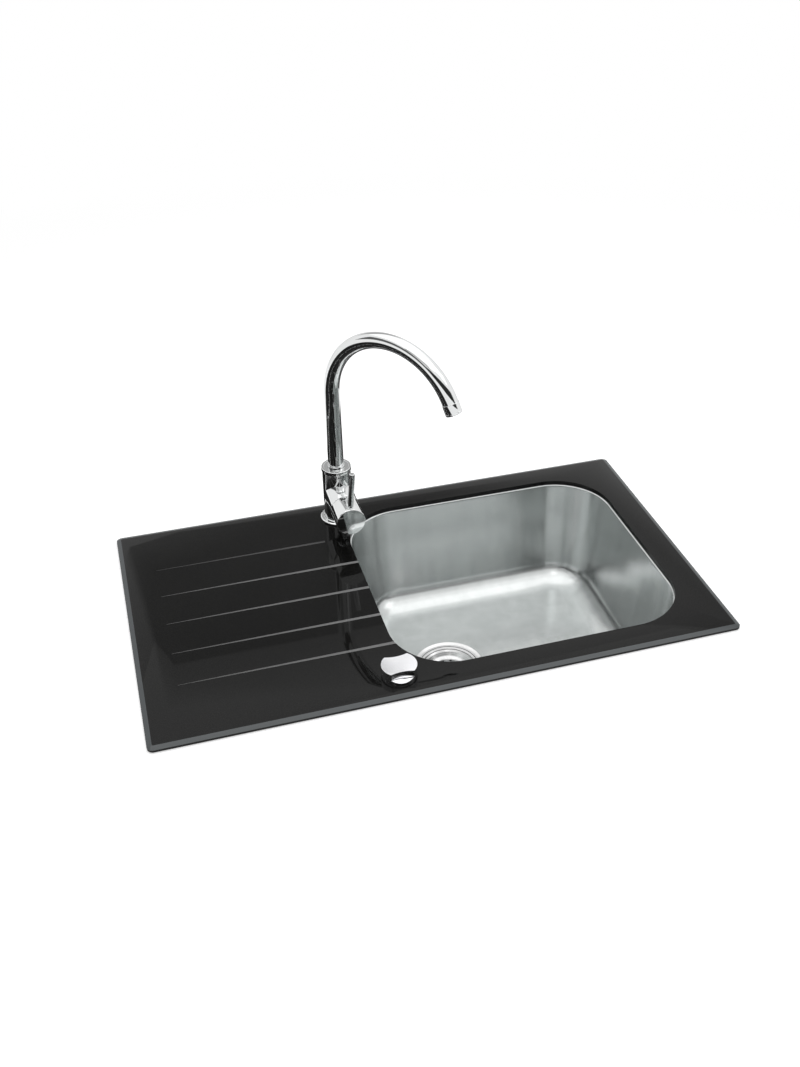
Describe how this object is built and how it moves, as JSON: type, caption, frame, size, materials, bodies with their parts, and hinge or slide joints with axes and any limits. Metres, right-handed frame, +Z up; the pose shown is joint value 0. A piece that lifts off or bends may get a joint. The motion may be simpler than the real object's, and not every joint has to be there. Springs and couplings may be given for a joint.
{
  "type": "kitchen sink",
  "caption": "Inset kitchen sink with a black glass top and drainer, a deep steel bowl, a swan neck mixer tap and a pop-up basket waste worked by a knob.",
  "frame": {"origin": "centre of the glass plate's width and depth, on the underside of the foam seal that rests on the worktop", "axes": "+X to the right as one stands at the sink, +Y from the front edge to the tap's edge, +Z up"},
  "size_m": [0.86, 0.5, 0.6699],
  "materials": {
    "black_glass": "polished black toughened glass",
    "bowl_steel": "brushed",
    "polished_steel": "bright, finely turned",
    "tap_chrome": "bright chrome",
    "knob_chrome": "satin chrome",
    "foam": "soft closed-cell foam",
    "sealant": "matte sealant",
    "deadening": "matte pad",
    "seal_rubber": "matte",
    "white_plastic": "satin moulded",
    "bearing_plastic": "natural acetal",
    "blue_plastic": "moulded",
    "dark_plastic": "textured moulded",
    "cable_sheath": "smooth sheath",
    "stainless_screw": "turned",
    "black_screw": "blackened",
    "nut_brass": "turned",
    "zinc_steel": "zinc plated",
    "clip_screw_steel": "zinc plated"
  },
  "bodies": {
    "sink": {"glass_top": "black_glass", "edge_seal": "foam", "bowl": "bowl_steel", "bond_seal": "sealant", "sound_pad": "deadening", "overflow_cover": "polished_steel", "overflow_screw": "stainless_screw", "overflow_gasket": "seal_rubber", "overflow_elbow": "white_plastic", "overflow_pipe": "white_plastic", "waste_flange": "polished_steel", "waste_top_seal": "seal_rubber", "waste_lower_seal": "seal_rubber", "waste_body": "white_plastic", "waste_screw": "stainless_screw", "rocker_shaft": "stainless_screw", "cable_gland": "dark_plastic", "bowden_cable": "cable_sheath", "knob_base": "knob_chrome", "knob_nut": "nut_brass", "drum_housing": "dark_plastic", "drum_lid": "dark_plastic", "tap_base_seal": "seal_rubber", "tap_base_ring": "tap_chrome", "tap_body": "tap_chrome", "spout_collar": "tap_chrome", "spout_bush": "bearing_plastic", "cartridge": "bearing_plastic", "dome_nut": "tap_chrome", "tap_stud": "zinc_steel", "rubber_horseshoe": "seal_rubber", "steel_horseshoe": "zinc_steel", "stud_nut": "nut_brass", "clip_brackets": "zinc_steel"},
    "spout": {"spout_tube": "tap_chrome", "spout_ring": "tap_chrome", "aerator_shell": "tap_chrome", "aerator_insert": "dark_plastic"},
    "mixing": {"mixing_carrier": "blue_plastic", "stem_pin": "stainless_screw"},
    "lever": {"lever_stem": "stainless_screw", "lever_cap": "tap_chrome", "lever_pin": "tap_chrome", "lever_grub_screw": "black_screw"},
    "knob": {"knob_grip": "knob_chrome", "knob_spindle": "stainless_screw", "cable_drum": "bearing_plastic", "knob_grub_screw": "black_screw"},
    "rocker": {"rocker": "dark_plastic"},
    "lifter": {"lifter_pin": "stainless_screw"},
    "basket": {"strainer_basket": "polished_steel", "plug_seal": "seal_rubber"},
    "clips_front": {"clips_front": "zinc_steel", "clip_screws_front": "clip_screw_steel"},
    "clips_back": {"clips_back": "zinc_steel", "clip_screws_back": "clip_screw_steel"},
    "clips_left": {"clips_left": "zinc_steel", "clip_screws_left": "clip_screw_steel"},
    "clips_right": {"clips_right": "zinc_steel", "clip_screws_right": "clip_screw_steel"}
  },
  "joints": [
    {"name": "spout_swivel", "type": "hinge", "parent": "sink", "child": "spout", "pos_m": [-0.0705, 0.205, 0], "axis": [0, 0, 1], "continuous": true},
    {"name": "lever_temperature", "type": "hinge", "parent": "sink", "child": "mixing", "pos_m": [-0.0705, 0.1494, 0.0578], "axis": [0, 1, 0], "range_deg": [-50, 40]},
    {"name": "lever_flow", "type": "hinge", "parent": "mixing", "child": "lever", "pos_m": [-0.0705, 0.1494, 0.0578], "axis": [0.9962, 0, -0.0872], "range_deg": [0, 20]},
    {"name": "knob_turn", "type": "hinge", "parent": "sink", "child": "knob", "pos_m": [-0.0795, -0.2043, 0], "axis": [0, 0, 1], "range_deg": [0, 90]},
    {"name": "rocker_turn", "type": "hinge", "parent": "sink", "child": "rocker", "pos_m": [0.04478, -0.01255, -0.2405], "axis": [0.7275, -0.6861, 0], "range_deg": [0, 24.84]},
    {"name": "lifter_rise", "type": "slide", "parent": "sink", "child": "lifter", "axis": [0, 0, 1], "range_m": [0, 0.00841]},
    {"name": "basket_lift_out", "type": "slide", "parent": "lifter", "child": "basket", "axis": [0, 0, 1], "range_m": [0, 0.06]},
    {"name": "clips_front_swing", "type": "hinge", "parent": "sink", "child": "clips_front", "pos_m": [0, -0.229, -0.0075], "axis": [-1, 0, 0], "range_deg": [-25, 40]},
    {"name": "clips_back_swing", "type": "hinge", "parent": "sink", "child": "clips_back", "pos_m": [0, 0.229, -0.0075], "axis": [1, 0, 0], "range_deg": [-25, 40]},
    {"name": "clips_left_swing", "type": "hinge", "parent": "sink", "child": "clips_left", "pos_m": [-0.409, 0, -0.0075], "axis": [0, 1, 0], "range_deg": [-25, 40]},
    {"name": "clips_right_swing", "type": "hinge", "parent": "sink", "child": "clips_right", "pos_m": [0.409, 0, -0.0075], "axis": [0, -1, 0], "range_deg": [-25, 40]}
  ],
  "couplings": [
    {"joint": "rocker_turn", "follows": "knob_turn", "ratio": 0.27594},
    {"joint": "lifter_rise", "follows": "knob_turn", "m_per_rad": 0.0053476}
  ]
}
